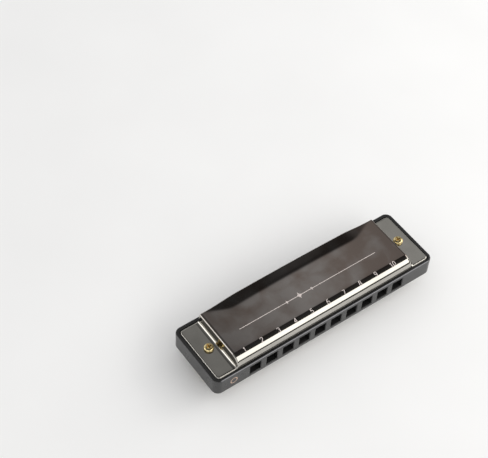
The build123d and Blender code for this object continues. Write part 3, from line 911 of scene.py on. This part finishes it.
class HARMONICA_OT_numbers(bpy.types.Operator):
    """Hole numbers in pale ink above the mouths"""
    bl_idname = "harmonica.numbers"
    bl_label = "Hole numbers"

    def execute(self, context):
        marks, form = settings("marks"), CoverForm(settings("cover"))
        ink = make_material("pale_cover_ink", printed_ink, settings("colours").mark)
        height = marks.digit_height
        for number in range(1, len(HOLE_X) + 1):
            start = [marks.digit_first_x + (number - 1) * marks.digit_pitch, marks.digit_middle_y]
            strokes = [start + (np.concatenate(stroke) + [spot * DIGIT_ADVANCE, -0.5]) * height
                       for spot, digit in enumerate(str(number)) for stroke in DIGITS[digit]]
            outline_mark(f"hole_number_{number:02d}", strokes, marks.digit_stroke, form, ink)
        return {"FINISHED"}


class HARMONICA_OT_ornament(bpy.types.Operator):
    """Plain rule along the top cover with a lozenge and dots"""
    bl_idname = "harmonica.ornament"
    bl_label = "Rule and lozenge"

    def execute(self, context):
        marks, form = settings("marks"), CoverForm(settings("cover"))
        ink = bpy.data.materials["pale_cover_ink"]
        y = marks.rule_y
        rule = line((marks.rule_left, y), (marks.rule_right, y))
        outline_mark("cover_rule", [rule], marks.rule_width, form, ink)
        z = COMB_TOP + form.crown + 1.5 * marks.mark_height
        a = np.radians(np.arange(0, 361, 7.5))
        hollow = 0.6          # a lozenge with hollow sides: |x|^hollow + |y|^hollow = 1
        star = (np.abs(np.cos(a)) ** hollow + np.abs(np.sin(a)) ** hollow) ** (-1 / hollow)
        points, quads = [], []
        for away, share in ((0, 1), (-5.8, 0.55), (5.8, 0.55), (-9.6, 0.28), (9.6, 0.28)):
            x, size = marks.lozenge_x + away, marks.lozenge * share
            rim = np.stack([x + size * star * np.cos(a), y + size * star * np.sin(a),
                            np.full(len(a), z)], -1)
            quads.append(grid_quads(2, len(a), start=2 * len(a) * len(quads))[:, ::-1])
            points += [np.repeat([[x, y, z]], len(a), axis=0), rim]
        make_piece("cover_lozenges", np.concatenate(points), np.concatenate(quads), ink)
        return {"FINISHED"}


RING_AWAY = 1.3          # from the lowest hole to the ring, in hole pitches


class HARMONICA_OT_ring(bpy.types.Operator):
    """Plain ring in pale ink on the comb's front, beside the lowest hole"""
    bl_idname = "harmonica.ring"
    bl_label = "Ring mark"

    def execute(self, context):
        marks = settings("marks")
        ink = make_material("pale_copper_ink", printed_ink, settings("colours").ring_mark)
        a = np.linspace(0, 2 * math.pi, 49)
        radii = np.array([[marks.ring_diameter / 2], [marks.ring_diameter / 2 - marks.ring_width]])
        px = HOLE_X[0] - RING_AWAY * HOLE_PITCH + radii * np.cos(a)
        py = np.full(px.shape, COMB_LOW[1] - marks.ring_height)
        points = np.stack([px, py, MID_Z + radii * np.sin(a)], -1).reshape(-1, 3)
        make_piece("comb_ring_mark", points, grid_quads(2, len(a)), ink)
        return {"FINISHED"}


class HARMONICA_OT_stage(bpy.types.Operator):
    """Plain pale floor, graded surroundings, two softboxes and the camera"""
    bl_idname = "harmonica.stage"
    bl_label = "Stage"

    def execute(self, context):
        stage = settings("stage")
        half, z = 4.0, CAD_BOX[0][2]          # metres
        mesh = bpy.data.meshes.new("pale_floor")
        mesh.from_pydata([(-half, -half, z), (half, -half, z), (half, half, z), (-half, half, z)],
                         [], [(0, 1, 2, 3)])
        mesh.materials.append(make_material("pale_paper_floor", plain_floor))
        floor = bpy.data.objects.new("pale_floor", mesh)
        context.scene.collection.objects.link(floor)
        self.surroundings(context, stage)
        self.softbox("key_softbox", (0.43, -0.66, 0.61), 1.4, 0.42, stage.key_level)
        self.softbox("side_softbox", (0.56, -0.08, 0.3), 0.35, 0.35, stage.side_level)
        self.camera(context, stage)
        context.scene.view_settings.view_transform = "Standard"
        return {"FINISHED"}

    def surroundings(self, context, stage):
        """An even sky lights matt surfaces and a pale one stands behind the floor. Metals mirror a room
        graded by height with lit walls and panels in it: each adds its strength times the cosine to
        its direction raised to a power."""
        world = bpy.data.worlds.new("graded_surroundings")
        context.scene.world = world
        world.use_nodes = True
        world.node_tree.nodes.clear()
        node = partial(add_node, world.node_tree)
        direction = node("TexCoord", {}, "Generated")
        height = node("SeparateXYZ", {0: direction}, "Z")
        grey = lambda value: (value, value, value, 1.0)
        total = node("ValToRGB", {0: height}, stops=[
            (0.0, grey(0.12)), (1.0, grey(0.04)), (0.6, grey(0.12)), (0.8, grey(0.1)),
            (0.86, grey(0.05))])
        for towards, power, strength in (((-0.87, 0.49, 0.06), 22.0, stage.left_wall),
                                         ((-0.8, -0.57, 0.2), 6.0, stage.corner_wall),
                                         ((-0.1, 0.93, 0.36), 8.0, stage.back_wall),
                                         ((0.56, 0.42, 0.72), 30.0, stage.far_panel),
                                         ((0.42, 0.43, 0.8), 260.0, stage.top_panel)):
            facing = node("VectorMath", {0: direction, 1: towards}, "Value",
                          operation="DOT_PRODUCT")
            above = node("Math", {0: facing, 1: 0.0}, operation="MAXIMUM")
            lobe = node("Math", {0: above, 1: power}, operation="POWER")
            lit = node("VectorMath", {0: lobe, "Scale": strength}, operation="SCALE")
            total = node("VectorMath", {0: total, 1: lit}, operation="ADD")
        mirrored = node("LightPath", {}, "Is Glossy Ray")
        total = node("Mix", {0: mirrored, 6: grey(stage.sky), 7: total}, 2, data_type="RGBA")
        seen = node("LightPath", {}, "Is Camera Ray")
        total = node("Mix", {0: seen, 6: total, 7: grey(stage.backdrop)}, 2, data_type="RGBA")
        node("OutputWorld", {0: node("Background", {0: total})})

    def softbox(self, name, place, width, height, level):
        """Area light that faces the object; its power is its radiance times pi times its area."""
        data = bpy.data.lights.new(name, "AREA")
        data.shape = "RECTANGLE"
        data.size, data.size_y = width, height
        data.energy = level * math.pi * width * height
        data.color = (1.0, 0.985, 0.95)
        light = bpy.data.objects.new(name, data)
        light.location = place
        light.rotation_euler = (-Vector(place)).to_track_quat("-Z", "Y").to_euler()
        bpy.context.scene.collection.objects.link(light)

    def camera(self, context, stage):
        """Camera on a sphere round its target, then turned about its own axis."""
        azimuth, elevation, roll = stage.azimuth, stage.elevation, stage.roll
        back = Vector((math.sin(azimuth) * math.cos(elevation),
                       -math.cos(azimuth) * math.cos(elevation), math.sin(elevation)))
        right = (-back).cross(Vector((0, 0, 1))).normalized()
        up = back.cross(right)
        right, up = (math.cos(roll) * right + math.sin(roll) * up,
                     math.cos(roll) * up - math.sin(roll) * right)
        data = bpy.data.cameras.new("camera")
        data.lens = stage.lens
        data.sensor_width = 36.0
        data.clip_start = 0.01
        camera = bpy.data.objects.new("camera", data)
        place = (Vector(stage.target) + back * stage.distance) * MM
        turn = Matrix((right, up, back)).transposed().to_4x4()
        camera.matrix_world = Matrix.Translation(place) @ turn
        context.scene.collection.objects.link(camera)
        context.scene.camera = camera


OPERATORS = (HARMONICA_OT_covers, HARMONICA_OT_comb, HARMONICA_OT_reed_plates, HARMONICA_OT_reeds,
             HARMONICA_OT_rivets, HARMONICA_OT_plate_screws, HARMONICA_OT_screws, HARMONICA_OT_numbers,
             HARMONICA_OT_ornament, HARMONICA_OT_ring, HARMONICA_OT_stage)


class HARMONICA_PT_finishes(bpy.types.Panel):
    """Lists the pieces of the harmonica and the sizes and colours behind them"""
    bl_idname = "HARMONICA_PT_finishes"
    bl_label = "Harmonica"
    bl_space_type = "VIEW_3D"
    bl_region_type = "UI"
    bl_category = "Harmonica"

    def draw(self, context):
        for operator in OPERATORS:
            self.layout.operator(operator.bl_idname)
        for name in SETTINGS:
            group, box = settings(name), self.layout.box()
            for prop in group.bl_rna.properties:
                if not prop.is_readonly and prop.identifier != "name":
                    box.prop(group, prop.identifier)


def register():
    for kind in (*SETTINGS.values(), *OPERATORS, HARMONICA_PT_finishes):
        bpy.utils.register_class(kind)
    for name, group in SETTINGS.items():
        setattr(bpy.types.Scene, "harmonica_" + name, PointerProperty(type=group))


def unregister():
    for name in SETTINGS:
        delattr(bpy.types.Scene, "harmonica_" + name)
    for kind in (HARMONICA_PT_finishes, *OPERATORS, *SETTINGS.values()):
        bpy.utils.unregister_class(kind)


def main():
    register()
    for operator in OPERATORS:
        getattr(bpy.ops.harmonica, operator.bl_idname.removeprefix("harmonica."))()


if __name__ == "__main__":
    main()
